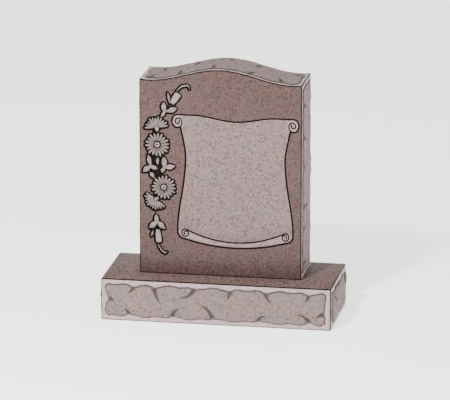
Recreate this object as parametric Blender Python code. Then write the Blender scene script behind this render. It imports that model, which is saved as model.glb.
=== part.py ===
"""Upright granite headstone: a serpentine-top tablet standing on a rock-pitched base.

The tablet and the base are two separate stones. The polished front of the tablet carries a
sand-carved scroll panel and a spray of daisies, leaves and buds. The edges of both stones are
pitched: a flat drafted margin runs round each one, and rough stone stands out inside it.
Metres, +Z up, the front faces -Y, the origin is in the middle of the base's underside.
"""

import math
import random

import bmesh
import bpy
import numpy as np
from mathutils import Vector
from mathutils.geometry import delaunay_2d_cdt

# Sizes of the two stones
TABLET_WIDTH = 0.6096
TABLET_THICKNESS = 0.2032
TABLET_HEIGHT = 0.7874
CROWN_RISE = 0.047
SHOULDER_DIP_FROM_EDGE = 0.037
BASE_HEIGHT = 0.160
SIDE_LEDGE = 0.127
FRONT_LEDGE = 0.1016
BACK_LEDGE = 0.0508
JOINT_GAP = 0.0003

# The rock-pitched edges
BASE_MARGIN = 0.019
BASE_ROCK_PROJECTION = 0.013
BASE_ROCK_SHOULDER = 0.034
TABLET_MARGIN = 0.017
TABLET_ROCK_PROJECTION = 0.010
TABLET_ROCK_SHOULDER = 0.026
ROCK_CORNER_RADIUS = 0.014
ROCK_WAVER = 0.0025
ROCK_WAVER_LENGTH = 0.083
ROCK_LUMP_LENGTH = 0.16
ROCK_LUMP_SHARE = 0.06
CREASE_DEPTH_SHARE = 0.45
NOTCH_SPACING = 0.120
NOTCH_INSET = 0.011
NOTCH_SPREAD = 0.015

# Notches in the rock of the base's front: where along it and up it, the lean of the crease that
# runs in from there, in radians, and the crease's length as a share of the base's height
FRONT_NOTCH_SHARES = (
    (0.142, 1, -0.90, 0.15), (0.235, 1, 0.41, 0.34), (0.406, 1, -1.10, 0.40), (0.563, 1, -0.44, 0.18),
    (0.719, 1, 0.62, 0.24), (0.904, 1, -0.37, 0.12), (0.122, 0, 0.74, 0.14), (0.309, 0, -0.83, 0.28),
    (0.487, 0, 0.79, 0.41), (0.687, 0, -0.98, 0.21), (0.907, 0, 1.10, 0.31), (0, 0.52, -0.49, 0.13),
    (1, 0.39, 0.57, 0.19),
)

# The scroll panel
PANEL_LEFT_MARGIN = 0.123
PANEL_RIGHT_MARGIN = 0.011
PANEL_TOP_MARGIN = 0.128
PANEL_BOTTOM_MARGIN = 0.110
PANEL_SINK = 0.0015
PANEL_TOP_DIP = 0.019
PANEL_BOTTOM_SAG = 0.028
TOP_CURL_RADIUS = 0.0245
FOOT_CURL_RADIUS = 0.0140
FOOT_CURL_IN_FROM_SIDE = 0.029
FOOT_CURL_UP_FROM_FOOT = 0.051
FOOT_CORNER_RADIUS = 0.027
ROLL_THICKNESS = 0.020
ROLL_UNDERCUT = 0.0030

# The sides of the sheet on their way down: how far down, as a share of the panel's height, and
# how far out, as a share of its half-width
PANEL_SIDE_SHARES = ((0.30, 0.786), (0.50, 0.812), (0.68, 0.872), (0.82, 0.908))
PANEL_FOOT_SHARE = 0.910

# The sand-carved lines and the spray's pocket
GROOVE_WIDTH = 0.0050
GROOVE_DEPTH = 0.0045
CURL_GROOVE_WIDTH = 0.0034
CURL_GROOVE_DEPTH = 0.0035
POCKET_DEPTH = 0.0070
POCKET_RIM = 0.0046

# The spray of flowers
SPRAY_AXIS_FROM_EDGE = 0.072
SPRAY_TOP_MARGIN = 0.015
SPRAY_BOTTOM_MARGIN = 0.077
PETALS_PER_DAISY = 18
PETALS_PER_PROFILE_DAISY = 9

# How far below the polished face the carved forms lie at their crests and their edges
PETAL_CREST = 0.0008
PETAL_EDGE = 0.0036
LEAF_CREST = 0.0005
LEAF_EDGE = 0.0034
DISC_CREST = 0.0012
DISC_PIT = 0.0050

# How finely the curves are faceted
CREST_SEGMENTS = 26
PIECES_PER_KNOT = 2
PANEL_EDGE_SEGMENTS = 7
SEGMENTS_PER_TURN = 16
BLADE_SIDE_POINTS = 3
ROCK_POINT_SPACING = 0.022
CLOSEST_POINTS = 0.0005

FULL_TURN = 2 * math.pi
base_length = TABLET_WIDTH + 2 * SIDE_LEDGE
base_depth = TABLET_THICKNESS + FRONT_LEDGE + BACK_LEDGE
tablet_front_y = FRONT_LEDGE - base_depth / 2
tablet_back_y = base_depth / 2 - BACK_LEDGE
tablet_foot_z = BASE_HEIGHT + JOINT_GAP
shoulder_height = TABLET_HEIGHT - CROWN_RISE
shoulder_dip_x = TABLET_WIDTH / 2 - SHOULDER_DIP_FROM_EDGE
panel_width = TABLET_WIDTH - PANEL_LEFT_MARGIN - PANEL_RIGHT_MARGIN
panel_height = shoulder_height - PANEL_TOP_MARGIN - PANEL_BOTTOM_MARGIN
panel_centre_x = (PANEL_LEFT_MARGIN - PANEL_RIGHT_MARGIN) / 2
spray_height = shoulder_height - SPRAY_TOP_MARGIN - SPRAY_BOTTOM_MARGIN


# Curves and distances

def polar(centre, radius, angle):
    """The point at that radius and angle from a centre."""
    return np.array([centre[0] + radius * math.cos(angle), centre[1] + radius * math.sin(angle)])


def smooth_curve(knots, pieces):
    """A smooth curve through the knots, with that many pieces between each two."""
    k = np.asarray(knots, float)
    padded = np.vstack([2 * k[0] - k[1], k, 2 * k[-1] - k[-2]])
    found = []
    for i in range(len(k) - 1):
        p0, p1, p2, p3 = padded[i:i + 4]
        for t in np.arange(pieces) / pieces:
            bend = (2 * p0 - 5 * p1 + 4 * p2 - p3) * t**2 + (3 * p1 - p0 - 3 * p2 + p3) * t**3
            found.append((2 * p1 + (p2 - p0) * t + bend) / 2)
    found.append(k[-1])
    return np.array(found)


def distance_to(points, line, closed=False):
    """How far each point is from a line of straight segments."""
    ends = np.roll(line, -1, axis=0) if closed else line[1:]
    starts = line if closed else line[:-1]
    nearest = np.full(len(points), np.inf)
    for a, b in zip(starts, ends):
        run = b - a
        share = np.clip(((points - a) @ run) / max(run @ run, 1e-12), 0, 1)
        gap = points - a - share[:, None] * run
        nearest = np.minimum(nearest, np.hypot(gap[:, 0], gap[:, 1]))
    return nearest


def inside(points, loop):
    """Whether each point is inside a closed loop."""
    x, y = points[:, 0], points[:, 1]
    within = np.zeros(len(points), bool)
    for (ax, ay), (bx, by) in zip(loop, np.roll(loop, -1, axis=0)):
        if ay != by:
            crosses = (ay > y) != (by > y)
            within ^= crosses & (x < (bx - ax) * (y - ay) / (by - ay) + ax)
    return within


def depth_inside(points, loop):
    """How far inside a closed loop each point is, negative outside it."""
    return distance_to(points, loop, closed=True) * np.where(inside(points, loop), 1, -1)


def offset_line(line, distance, closed=False):
    """The line moved sideways, to the right of its own direction."""
    before = np.roll(line, 1, axis=0)
    after = np.roll(line, -1, axis=0)
    if not closed:
        before[0], after[-1] = line[0], line[-1]
    run = after - before
    run /= np.maximum(np.hypot(run[:, 0], run[:, 1]), 1e-12)[:, None]
    return line + distance * np.column_stack([run[:, 1], -run[:, 0]])


# The scroll panel

def spiral(centre, radius, turns):
    """A paper curl seen from its end, clockwise from its top: half a round turn, then it winds in."""
    found = []
    count = round(turns * SEGMENTS_PER_TURN)
    for i in range(count + 1):
        turned = turns * i / count
        closing = min(max((turned - 0.5) / 0.65, 0), 1)
        share = 0.46 + 0.54 * (1 + math.cos(math.pi * closing)) / 2 - 0.06 * turned
        found.append(polar(centre, radius * share, math.pi / 2 - FULL_TURN * turned))
    return np.array(found)


def panel_lines():
    """The panel's outline as a closed loop, and the lines carved inside it."""
    top = shoulder_height - PANEL_TOP_MARGIN
    foot = PANEL_BOTTOM_MARGIN
    half = panel_width / 2
    curl_x = half - TOP_CURL_RADIUS
    curl_z = top - TOP_CURL_RADIUS
    outer_turn = 0.6

    flat_from = 0.72 * curl_x
    edge_x = np.linspace(0, curl_x, PANEL_EDGE_SEGMENTS + 1)[:-1]
    dip = np.where(edge_x < flat_from, (1 + np.cos(math.pi * edge_x / flat_from)) / 2, 0)
    top_edge = np.column_stack([edge_x, top - PANEL_TOP_DIP * dip])

    curl = spiral((curl_x, curl_z), TOP_CURL_RADIUS, 1.8)
    outer = curl[:round(outer_turn * SEGMENTS_PER_TURN) + 1]
    inner = curl[round(outer_turn * SEGMENTS_PER_TURN):]

    foot_half = PANEL_FOOT_SHARE * half
    corner = (foot_half - FOOT_CORNER_RADIUS, foot + PANEL_BOTTOM_SAG + FOOT_CORNER_RADIUS)
    side_knots = [(out * half, top - down * panel_height) for down, out in PANEL_SIDE_SHARES]
    side = smooth_curve([outer[-1], *side_knots, (foot_half, corner[1])], PIECES_PER_KNOT)
    arc = [polar(corner, FOOT_CORNER_RADIUS, -math.pi / 2 * share) for share in (0.33, 0.67)]
    foot_x = np.linspace(corner[0], 0, PANEL_EDGE_SEGMENTS + 1)
    foot_edge = np.column_stack([foot_x, foot + PANEL_BOTTOM_SAG * (foot_x / corner[0]) ** 2])

    right = np.vstack([top_edge, outer, side[1:], arc, foot_edge])
    left = right[1:-1][::-1] * (-1, 1)
    outline = np.vstack([right, left])

    foot_curl = (foot_half - FOOT_CURL_IN_FROM_SIDE, foot + FOOT_CURL_UP_FROM_FOOT)
    roll_x = np.linspace(-foot_curl[0], foot_curl[0], 2 * PANEL_EDGE_SEGMENTS + 1)
    roll_rise = foot_curl[1] + FOOT_CURL_RADIUS - foot - ROLL_THICKNESS
    roll = np.column_stack([roll_x, foot + ROLL_THICKNESS + roll_rise * (roll_x / foot_curl[0]) ** 2])

    carved = [(roll, CURL_GROOVE_WIDTH, CURL_GROOVE_DEPTH + ROLL_UNDERCUT)]
    for mirror in (1, -1):
        small = spiral(foot_curl, FOOT_CURL_RADIUS, 1.5) * (mirror, 1)
        carved.append((small, CURL_GROOVE_WIDTH, CURL_GROOVE_DEPTH))
        carved.append((inner * (mirror, 1), CURL_GROOVE_WIDTH, CURL_GROOVE_DEPTH))
    shift = np.array([panel_centre_x, 0])
    return outline + shift, [(line + shift, w, d) for line, w, d in carved], roll + shift


def panel_level(points, outline, roll):
    """The sheet's own level before its lines are carved: sunk, lower still above the foot roll,
    and rounded over the roll."""
    depth = depth_inside(points, outline)
    above_roll = points[:, 1] - np.interp(points[:, 0], roll[:, 0], roll[:, 1])
    from_end = roll[:, 0].max() - panel_centre_x - np.abs(points[:, 0] - panel_centre_x)
    shade = np.clip(1 - above_roll / (4 * ROLL_THICKNESS), 0, 1) ** 2
    sheet = ROLL_UNDERCUT * shade * np.clip(from_end / FOOT_CURL_RADIUS, 0, 1)
    belly = np.clip(np.minimum(depth, -above_roll) / (0.5 * ROLL_THICKNESS), 0, 1)
    rounded = ROLL_UNDERCUT * (1 - np.sqrt(belly * (2 - belly)))
    sunk = PANEL_SINK + np.where(above_roll < 0, rounded, sheet)
    return np.where(depth > 0, -sunk, 0)


# The spray of flowers

def blade(base, tip, width, crest, edge, blunt=False, stalk=0.0):
    """One petal, leaf lobe or bud, from its base to its tip. It has an outline and a ridge."""
    base, tip = np.array(base, float), np.array(tip, float)
    along = tip - base
    across = np.array([-along[1], along[0]]) / math.hypot(*along)
    inner = np.arange(1, BLADE_SIDE_POINTS + 1) / (BLADE_SIDE_POINTS + 1)
    if blunt:
        inner = np.append(inner, 0.94)
        swell = stalk + (1 - stalk) * np.sin(math.pi / 2 * np.clip(inner / 0.72, 0, 1))
        swell *= np.sqrt(1 - np.clip((inner - 0.72) / 0.30, 0, 1) ** 2)
    else:
        swell = np.sin(math.pi * inner**0.85) ** 0.9
    left = base + inner[:, None] * along + (swell * width / 2)[:, None] * across
    right = base + inner[:, None] * along - (swell * width / 2)[:, None] * across
    foot = [base]
    if stalk:
        foot = [base - across * stalk * width / 2, base + across * stalk * width / 2]
    outline = np.vstack([foot, left, [tip], right[::-1]])
    ridge = np.array([base + 0.2 * along, base + 0.8 * along])
    return {"outline": outline, "ridge": ridge, "crest": crest, "edge": edge, "half": width / 2}


def disc(centre, radius):
    """A daisy's button, with a pit in its middle."""
    rim = np.array([polar(centre, radius, FULL_TURN * i / 10) for i in range(10)])
    ring = np.array([polar(centre, 0.55 * radius, FULL_TURN * i / 6) for i in range(7)])
    return {"outline": rim, "ridge": ring, "crest": DISC_CREST, "edge": PETAL_EDGE,
            "half": 0.45 * radius, "pit": np.array(centre, float), "pit_radius": 0.4 * radius}


def daisy(centre, radius, turn):
    """A daisy seen from the front: a button and a ring of petals."""
    found = [disc(centre, 0.24 * radius)]
    width = 0.82 * FULL_TURN * 0.80 * radius / PETALS_PER_DAISY
    for i in range(PETALS_PER_DAISY):
        angle = turn + FULL_TURN * i / PETALS_PER_DAISY
        reach = radius * (1 + 0.05 * math.sin(2.4 * i))
        found.append(blade(polar(centre, 0.36 * radius, angle), polar(centre, reach, angle), width,
                           PETAL_CREST, PETAL_EDGE, blunt=True, stalk=0.35))
    return found


def profile_daisy(cup, reach_across, reach_ahead, facing, spread):
    """A daisy seen from the side: petals fan out from its cup, longer across than ahead."""
    found = []
    for i in range(PETALS_PER_PROFILE_DAISY):
        swing = spread * (i / (PETALS_PER_PROFILE_DAISY - 1) - 0.5)
        reach = math.hypot(reach_across * math.sin(swing), reach_ahead * math.cos(swing))
        angle = facing + swing
        width = 0.86 * reach * spread / PETALS_PER_PROFILE_DAISY
        found.append(blade(polar(cup, 0.30 * reach, angle), polar(cup, reach, angle), width,
                           PETAL_CREST, PETAL_EDGE, blunt=True, stalk=0.4))
    heel = polar(cup, 0.42 * reach_ahead, facing + math.pi)
    brow = polar(cup, 0.20 * reach_ahead, facing)
    found.append(blade(brow, heel, 0.42 * reach_ahead, LEAF_CREST, LEAF_EDGE))
    return found


def tendril(knots, width):
    """A thin curling shoot along a curve."""
    spine = smooth_curve(knots, 3)
    taper = np.sin(math.pi * np.linspace(0.12, 0.92, len(spine)))[:, None] * width / 2
    left = spine - taper * (offset_line(spine, 1.0) - spine)
    right = spine + taper * (offset_line(spine, 1.0) - spine)
    return {"outline": np.vstack([left, right[::-1]]), "ridge": spine[1:-1], "crest": LEAF_CREST,
            "edge": LEAF_EDGE, "half": width / 2}


def spray():
    """Every raised form of the spray, and the gaps that are cut to the pocket's floor. Places and
    sizes are shares of the spray's own height, across from its axis and up from its foot."""
    raised, gaps = [], []
    raised += daisy((-0.007, 0.642), 0.0700, 0.10)
    raised += daisy((0.030, 0.392), 0.0700, 0.28)
    raised += profile_daisy((-0.010, 0.744), 0.067, 0.062, math.radians(98), math.radians(190))
    raised += profile_daisy((-0.016, 0.320), 0.067, 0.060, math.radians(234), math.radians(186))
    lobes = [
        ((0.034, 0.830), (0.029, 0.896), 0.032),
        ((0.044, 0.838), (0.109, 0.861), 0.034),
        ((0.046, 0.850), (0.014, 0.804), 0.022),
        ((-0.044, 0.512), (-0.060, 0.580), 0.030),
        ((-0.040, 0.520), (-0.093, 0.478), 0.034),
        ((-0.056, 0.520), (-0.002, 0.495), 0.028),
        ((-0.004, 0.522), (-0.004, 0.568), 0.022),
        ((0.036, 0.502), (0.031, 0.574), 0.036),
        ((0.030, 0.508), (0.098, 0.520), 0.033),
        ((0.042, 0.520), (0.012, 0.473), 0.026),
        ((-0.024, 0.444), (-0.050, 0.480), 0.026),
        ((-0.011, 0.172), (-0.014, 0.232), 0.030),
        ((-0.008, 0.194), (-0.054, 0.145), 0.034),
        ((-0.014, 0.194), (0.039, 0.145), 0.034),
        ((0.066, 0.886), (0.054, 0.956), 0.014),
        ((-0.032, 0.136), (-0.044, 0.094), 0.013),
    ]
    raised += [blade(base, tip, width, LEAF_CREST, LEAF_EDGE) for base, tip, width in lobes]
    buds = [((0.078, 0.888), (0.118, 0.949), 0.041), ((-0.005, 0.140), (0.002, 0.062), 0.036)]
    raised += [blade(base, tip, width, LEAF_CREST, LEAF_EDGE, blunt=True, stalk=0.6)
               for base, tip, width in buds]
    raised.append(tendril([(0.106, 0.962), (0.136, 0.990), (0.172, 0.996), (0.181, 0.974)], 0.010))
    raised.append(tendril([(-0.004, 0.052), (0.014, 0.022), (0.036, 0.004), (0.050, 0.014)], 0.010))
    hollows = [
        ((-0.024, 0.718), 0.012, 0.011),
        ((-0.028, 0.550), 0.015, 0.024),
        ((0.010, 0.530), 0.010, 0.028),
        ((0.056, 0.866), 0.008, 0.013),
        ((-0.004, 0.476), 0.024, 0.022),
        ((-0.014, 0.341), 0.013, 0.011),
    ]
    for centre, across, up in hollows:
        gaps.append(np.array([(centre[0] + across * math.cos(a), centre[1] + up * math.sin(a))
                              for a in np.arange(8) * FULL_TURN / 8]))
    axis_x = SPRAY_AXIS_FROM_EDGE - TABLET_WIDTH / 2
    place = np.array([axis_x, SPRAY_BOTTOM_MARGIN])
    for form in raised:
        for part in ("outline", "ridge", "pit"):
            if part in form:
                form[part] = place + spray_height * form[part]
        form["half"] *= spray_height
        form["pit_radius"] = form.get("pit_radius", 0) * spray_height
    return raised, [place + spray_height * gap for gap in gaps]


def spray_level(points, raised, gaps):
    """The carved spray: forms that rise from a pocket, and the pocket's sloping wall."""
    wall = POCKET_RIM / 2
    nearest = np.full(len(points), -np.inf)
    forms = np.full(len(points), -np.inf)
    for form in raised:
        depth = depth_inside(points, form["outline"])
        nearest = np.maximum(nearest, depth)
        swell = np.clip(depth / form["half"], 0, 1)
        top = -form["edge"] + (form["edge"] - form["crest"]) * np.sqrt(swell * (2 - swell))
        if "pit" in form:
            near = np.clip(np.hypot(*(points - form["pit"]).T) / form["pit_radius"], 0, 1)
            top = -DISC_PIT + (top + DISC_PIT) * near
        skirt = -form["edge"] + (POCKET_DEPTH - form["edge"]) * depth / wall
        forms = np.maximum(forms, np.where(depth >= 0, top, skirt))
    pocket = nearest + POCKET_RIM
    for gap in gaps:
        pocket = np.maximum(pocket, depth_inside(points, gap))
    ground = -POCKET_DEPTH * np.clip(pocket / wall, 0, 1)
    return np.maximum(ground, forms) * (pocket > 0)


def spray_lines(raised, gaps):
    """The edges that the spray's facets follow: outlines, ridges, the pocket's floor and its rim."""
    def exposed(line, moved_by):
        keep = np.full(len(line), True)
        for form in raised:
            keep &= -depth_inside(line, form["outline"]) > moved_by - CLOSEST_POINTS
        return keep

    lines = []
    for form in raised:
        lines.append((form["ridge"], False, None))
        clockwise = -loop_turn(form["outline"])
        for moved in (0, POCKET_RIM / 2, POCKET_RIM):
            edge = offset_line(form["outline"], -clockwise * moved, closed=True)
            lines.append((edge, True, exposed(edge, moved)))
    for gap in gaps:
        lines.append((gap, True, exposed(gap, 0)))
    return lines


def loop_turn(loop):
    """1 for a loop that runs anticlockwise, -1 for clockwise."""
    after = np.roll(loop, -1, axis=0)
    return math.copysign(1, np.sum(loop[:, 0] * after[:, 1] - after[:, 0] * loop[:, 1]))


# The pitched rock

def rounded_frame(width, height, margin):
    """Points and outward normals round a rounded rectangle, anticlockwise from low on the right."""
    inset = margin + ROCK_CORNER_RADIUS
    right, top = width - inset, height - inset
    centres = [(right, inset), (right, top), (inset, top), (inset, inset)]
    points, normals = [], []
    for i, centre in enumerate(centres):
        start = (i - 1) * math.pi / 2
        for share in (0, 0.33, 0.67, 1):
            normals.append(polar((0, 0), 1, start + share * math.pi / 2))
            points.append(centre + ROCK_CORNER_RADIUS * normals[-1])
        first = points[-1]
        run = polar(centres[(i + 1) % 4], ROCK_CORNER_RADIUS, start + math.pi / 2) - first
        count = max(int(math.hypot(*run) / ROCK_POINT_SPACING), 1)
        for k in range(1, count):
            points.append(first + run * k / count)
            normals.append(normals[-1])
    return np.array(points), np.array(normals)


class Rock:
    """The rough stone that stands out inside a flat margin: its outline, its creases and how far
    it stands out at each point. Sizes are along the face and up it. A notch is its place on the
    edge, the lean of its crease and the crease's length."""

    def __init__(self, width, height, style, seed, notches=None):
        self.width, self.height = width, height
        margin, self.projection, self.shoulder = style
        chance = random.Random(seed)
        if notches is None:
            notches = self.scattered(chance)
        self.frame, self.normals = rounded_frame(width, height, margin)
        run = self.frame - np.roll(self.frame, 1, axis=0)
        travelled = np.cumsum(np.hypot(run[:, 0], run[:, 1]))
        self.inset = ROCK_WAVER * np.sin(FULL_TURN * travelled / ROCK_WAVER_LENGTH + seed)
        starts = []
        for place, _, _ in notches:
            start = int(np.argmin(np.hypot(*(self.frame - place).T)))
            gap = np.abs(travelled - travelled[start])
            gap = np.minimum(gap, travelled[-1] - gap)
            self.inset += NOTCH_INSET * np.exp(-gap / NOTCH_SPREAD)
            starts.append(start)
        self.outline = self.ring(0)
        self.creases = [self.crease(start, lean, reach) for start, (_, lean, reach) in zip(starts, notches)]
        self.waves = [(chance.uniform(0.6, 1.4) * FULL_TURN / ROCK_LUMP_LENGTH, chance.uniform(0, FULL_TURN),
                       chance.uniform(0, FULL_TURN)) for _ in range(3)]

    def scattered(self, chance):
        """Notches a pace apart along both long edges, staggered."""
        found = []
        long_side, short_side = max(self.width, self.height), min(self.width, self.height)
        count = max(round(long_side / NOTCH_SPACING), 2)
        for edge in (0, 1):
            for i in range(count):
                along = long_side * (i + 0.35 + 0.3 * edge + chance.uniform(-0.15, 0.15)) / count
                place = (along, edge * short_side)
                if self.height > self.width:
                    place = place[::-1]
                found.append((place, chance.uniform(-0.7, 0.7), chance.uniform(0.2, 0.35) * short_side))
        return found

    def ring(self, moved_in):
        """The outline, moved further in."""
        return self.frame - self.normals * (self.inset + moved_in)[:, None]

    def crease(self, start, lean, reach):
        """A crease that runs in from a notch, bends and fades out."""
        heading = math.atan2(-self.normals[start][1], -self.normals[start][0])
        bend = polar(self.outline[start], 0.55 * reach, heading + 0.7 * lean)
        return np.array([self.outline[start], bend, polar(bend, 0.65 * reach, heading + 1.2 * lean)])

    def stands_out(self, points):
        """How far the stone stands out at each point. The furthest reaches the projection."""
        depth = np.clip(depth_inside(points, self.outline) / self.shoulder, 0, 1)
        swell = np.ones(len(points))
        for pace, phase_x, phase_y in self.waves:
            across = np.sin(pace * points[:, 0] + phase_x)
            swell += ROCK_LUMP_SHARE * across * np.cos(pace * points[:, 1] + phase_y)
        lift = np.sqrt(depth * (2 - depth)) * swell
        for line in self.creases:
            along = np.hypot(*(points - line[0]).T) / np.hypot(*(line[-1] - line[0]))
            strength = np.clip(1 - along, 0, 1)
            reach = self.shoulder * (0.2 + 0.5 * strength)
            beside = np.clip(1 - distance_to(points, line) / reach, 0, 1)
            lift *= 1 - CREASE_DEPTH_SHARE * strength * beside
        return self.projection * lift / lift.max()

    def lines(self):
        """The edges that the rock's facets follow."""
        rings = [(self.ring(share * self.shoulder), True, None) for share in (0, 0.22, 0.7)]
        return rings + [(line, False, None) for line in self.creases]


# Building the stones

def patch(bm, loop, lines, loose, lift):
    """Adds one side of a stone: facets inside the loop that follow the lines, lifted into place.
    A line is its points, whether it closes, and which of its points to keep."""
    places = [Vector(p) for p in loop]
    edges = []
    for points, closed, keep in lines:
        index = {}
        for i, point in enumerate(points):
            if keep is None or keep[i]:
                index[i] = len(places)
                places.append(Vector(point))
        count = len(points)
        for i in range(count if closed else count - 1):
            following = (i + 1) % count
            if i in index and following in index:
                edges.append((index[i], index[following]))
    places += [Vector(p) for p in loose]
    flat, _, facets, *_ = delaunay_2d_cdt(places, edges, [list(range(len(loop)))], 1, CLOSEST_POINTS)
    lifted = [bm.verts.new(p) for p in lift(np.array([tuple(p) for p in flat]))]
    for facet in facets:
        bm.faces.new([lifted[i] for i in facet])


def grid(width, height, spacing, keep):
    """Loose points on a staggered grid, where keep says so."""
    found = []
    rows = max(int(height / spacing), 1)
    columns = max(int(width / spacing), 1)
    for row in range(rows):
        for column in range(columns):
            found.append(((column + 0.25 + 0.5 * (row % 2)) * width / columns, (row + 0.5) * height / rows))
    points = np.array(found)
    return points[keep(points)]


def stone(name, bm, colour, roughness):
    """Closes the patches into one stone and gives it its granite."""
    bmesh.ops.remove_doubles(bm, verts=bm.verts, dist=CLOSEST_POINTS / 5)
    loose = [v for v in bm.verts if not v.link_faces]
    bmesh.ops.delete(bm, geom=loose, context="VERTS")
    bmesh.ops.recalc_face_normals(bm, faces=bm.faces)
    mesh = bpy.data.meshes.new(name)
    bm.to_mesh(mesh)
    bm.free()
    material = bpy.data.materials.new(name + "_granite")
    material.use_nodes = True
    shader = material.node_tree.nodes["Principled BSDF"]
    shader.inputs["Base Color"].default_value = (*colour, 1)
    shader.inputs["Roughness"].default_value = roughness
    shader.inputs["Metallic"].default_value = 0
    mesh.materials.append(material)
    thing = bpy.data.objects.new(name, mesh)
    bpy.context.scene.collection.objects.link(thing)
    return thing


def rock_patch(bm, rock, loop, lift):
    """One side with a flat margin and rough stone. The lift places what is u along the side, v up
    it and h out of it."""
    spacing = 0.9 * rock.shoulder
    loose = grid(rock.width, rock.height, spacing, lambda p: depth_inside(p, rock.outline) > spacing)

    def placed(points):
        return np.column_stack(lift(points[:, 0], points[:, 1], rock.stands_out(points)))

    patch(bm, loop, rock.lines(), loose, placed)


def flat_patch(bm, loop, lift):
    """One plain flat side."""
    patch(bm, loop, [], [], lift)


def corners(width, height):
    """The corners of a plain side."""
    return [(0, 0), (width, 0), (width, height), (0, height)]


def base():
    """The base: a polished top and four pitched sides."""
    bm = bmesh.new()
    half_length, half_depth = base_length / 2, base_depth / 2
    notches = [((along * base_length, up * BASE_HEIGHT), lean, reach * BASE_HEIGHT)
               for along, up, lean, reach in FRONT_NOTCH_SHARES]
    style = (BASE_MARGIN, BASE_ROCK_PROJECTION, BASE_ROCK_SHOULDER)
    front = Rock(base_length, BASE_HEIGHT, style, 1, notches)
    back = Rock(base_length, BASE_HEIGHT, style, 2)
    right = Rock(base_depth, BASE_HEIGHT, style, 3)
    left = Rock(base_depth, BASE_HEIGHT, style, 4)
    long_loop, short_loop = corners(base_length, BASE_HEIGHT), corners(base_depth, BASE_HEIGHT)
    rock_patch(bm, front, long_loop, lambda u, v, h: (u - half_length, -half_depth - h, v))
    rock_patch(bm, back, long_loop, lambda u, v, h: (half_length - u, half_depth + h, v))
    rock_patch(bm, right, short_loop, lambda u, v, h: (half_length + h, u - half_depth, v))
    rock_patch(bm, left, short_loop, lambda u, v, h: (-half_length - h, half_depth - u, v))
    plan = [(-half_length, -half_depth), (half_length, -half_depth), (half_length, half_depth),
            (-half_length, half_depth)]
    for level in (0, BASE_HEIGHT):
        flat_patch(bm, plan, lambda p, level=level: np.column_stack([p, np.full(len(p), level)]))
    return stone("base", bm, (0.41, 0.33, 0.31), 0.75)


def crest(x):
    """The serpentine top's height above the tablet's foot: a crown that dips to the shoulders."""
    return shoulder_height + CROWN_RISE * (1 + np.cos(math.pi * x / shoulder_dip_x)) / 2


def tablet():
    """The tablet: a carved front, a plain back, and a pitched top and sides."""
    bm = bmesh.new()
    half_width = TABLET_WIDTH / 2
    top_x = np.linspace(half_width, -half_width, CREST_SEGMENTS + 1)
    face = [(-half_width, 0), (half_width, 0)] + [(x, crest(x)) for x in top_x]

    outline, carved, roll = panel_lines()
    raised, gaps = spray()

    def carved_level(points):
        level = panel_level(points, outline, roll)
        near = distance_to(points, outline, closed=True)
        level = np.minimum(level, -GROOVE_DEPTH * np.clip(1 - near / (GROOVE_WIDTH / 2), 0, 1))
        for line, width, depth in carved:
            near = distance_to(points, line)
            level = np.minimum(level, -PANEL_SINK - depth * (1 - near / (width / 2)))
        return level

    def front_level(points):
        level = np.zeros(len(points))
        on_panel = points[:, 0] > -half_width + PANEL_LEFT_MARGIN - GROOVE_WIDTH
        level[on_panel] = carved_level(points[on_panel])
        return np.minimum(level, spray_level(points, raised, gaps))

    lines = [(offset_line(outline, moved, closed=True), True, None)
             for moved in (-GROOVE_WIDTH / 2, 0, GROOVE_WIDTH / 2)]
    for line, width, _ in carved:
        lines += [(offset_line(line, moved), False, None) for moved in (-width / 2, 0, width / 2)]
    lines += spray_lines(raised, gaps)

    def front(points):
        depth = tablet_front_y - front_level(points)
        return np.column_stack([points[:, 0], depth, tablet_foot_z + points[:, 1]])

    def back(points):
        depth = np.full(len(points), tablet_back_y)
        return np.column_stack([points[:, 0], depth, tablet_foot_z + points[:, 1]])

    patch(bm, face, lines, [], front)
    flat_patch(bm, face, back)
    plan = [(-half_width, tablet_front_y), (half_width, tablet_front_y), (half_width, tablet_back_y),
            (-half_width, tablet_back_y)]
    flat_patch(bm, plan, lambda p: np.column_stack([p, np.full(len(p), tablet_foot_z)]))

    style = (TABLET_MARGIN, TABLET_ROCK_PROJECTION, TABLET_ROCK_SHOULDER)
    side_height = float(crest(half_width))
    right = Rock(TABLET_THICKNESS, side_height, style, 5)
    left = Rock(TABLET_THICKNESS, side_height, style, 6)
    side = corners(TABLET_THICKNESS, side_height)
    rock_patch(bm, right, side, lambda u, v, h: (half_width + h, tablet_front_y + u, tablet_foot_z + v))
    rock_patch(bm, left, side, lambda u, v, h: (-half_width - h, tablet_back_y - u, tablet_foot_z + v))

    def over_the_top(u, v, h):
        x = u - half_width
        slope = -CROWN_RISE * math.pi / (2 * shoulder_dip_x) * np.sin(math.pi * x / shoulder_dip_x)
        steep = np.hypot(slope, 1)
        return x - h * slope / steep, tablet_front_y + v, tablet_foot_z + crest(x) + h / steep

    front_edge = [(x + half_width, 0) for x in top_x[::-1]]
    back_edge = [(x + half_width, TABLET_THICKNESS) for x in top_x]
    top = Rock(TABLET_WIDTH, TABLET_THICKNESS, style, 7)
    rock_patch(bm, top, front_edge + back_edge, over_the_top)
    return stone("tablet", bm, (0.27, 0.19, 0.17), 0.3)


def main():
    for thing in list(bpy.data.objects):
        bpy.data.objects.remove(thing)
    base()
    tablet()


main()
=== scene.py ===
"""The looks of the granite headstone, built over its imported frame.

The tablet's carving, the pitched rock of both stones and their arrises are modelled here more
finely than in the frame, from the same named sizes, and every surface gets its granite.
Metres, +Z up, the front faces -Y, the origin is in the middle of the base's underside.
"""

import math
import random

import bmesh
import bpy
import numpy as np
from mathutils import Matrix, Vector, noise
from mathutils.geometry import delaunay_2d_cdt


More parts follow.
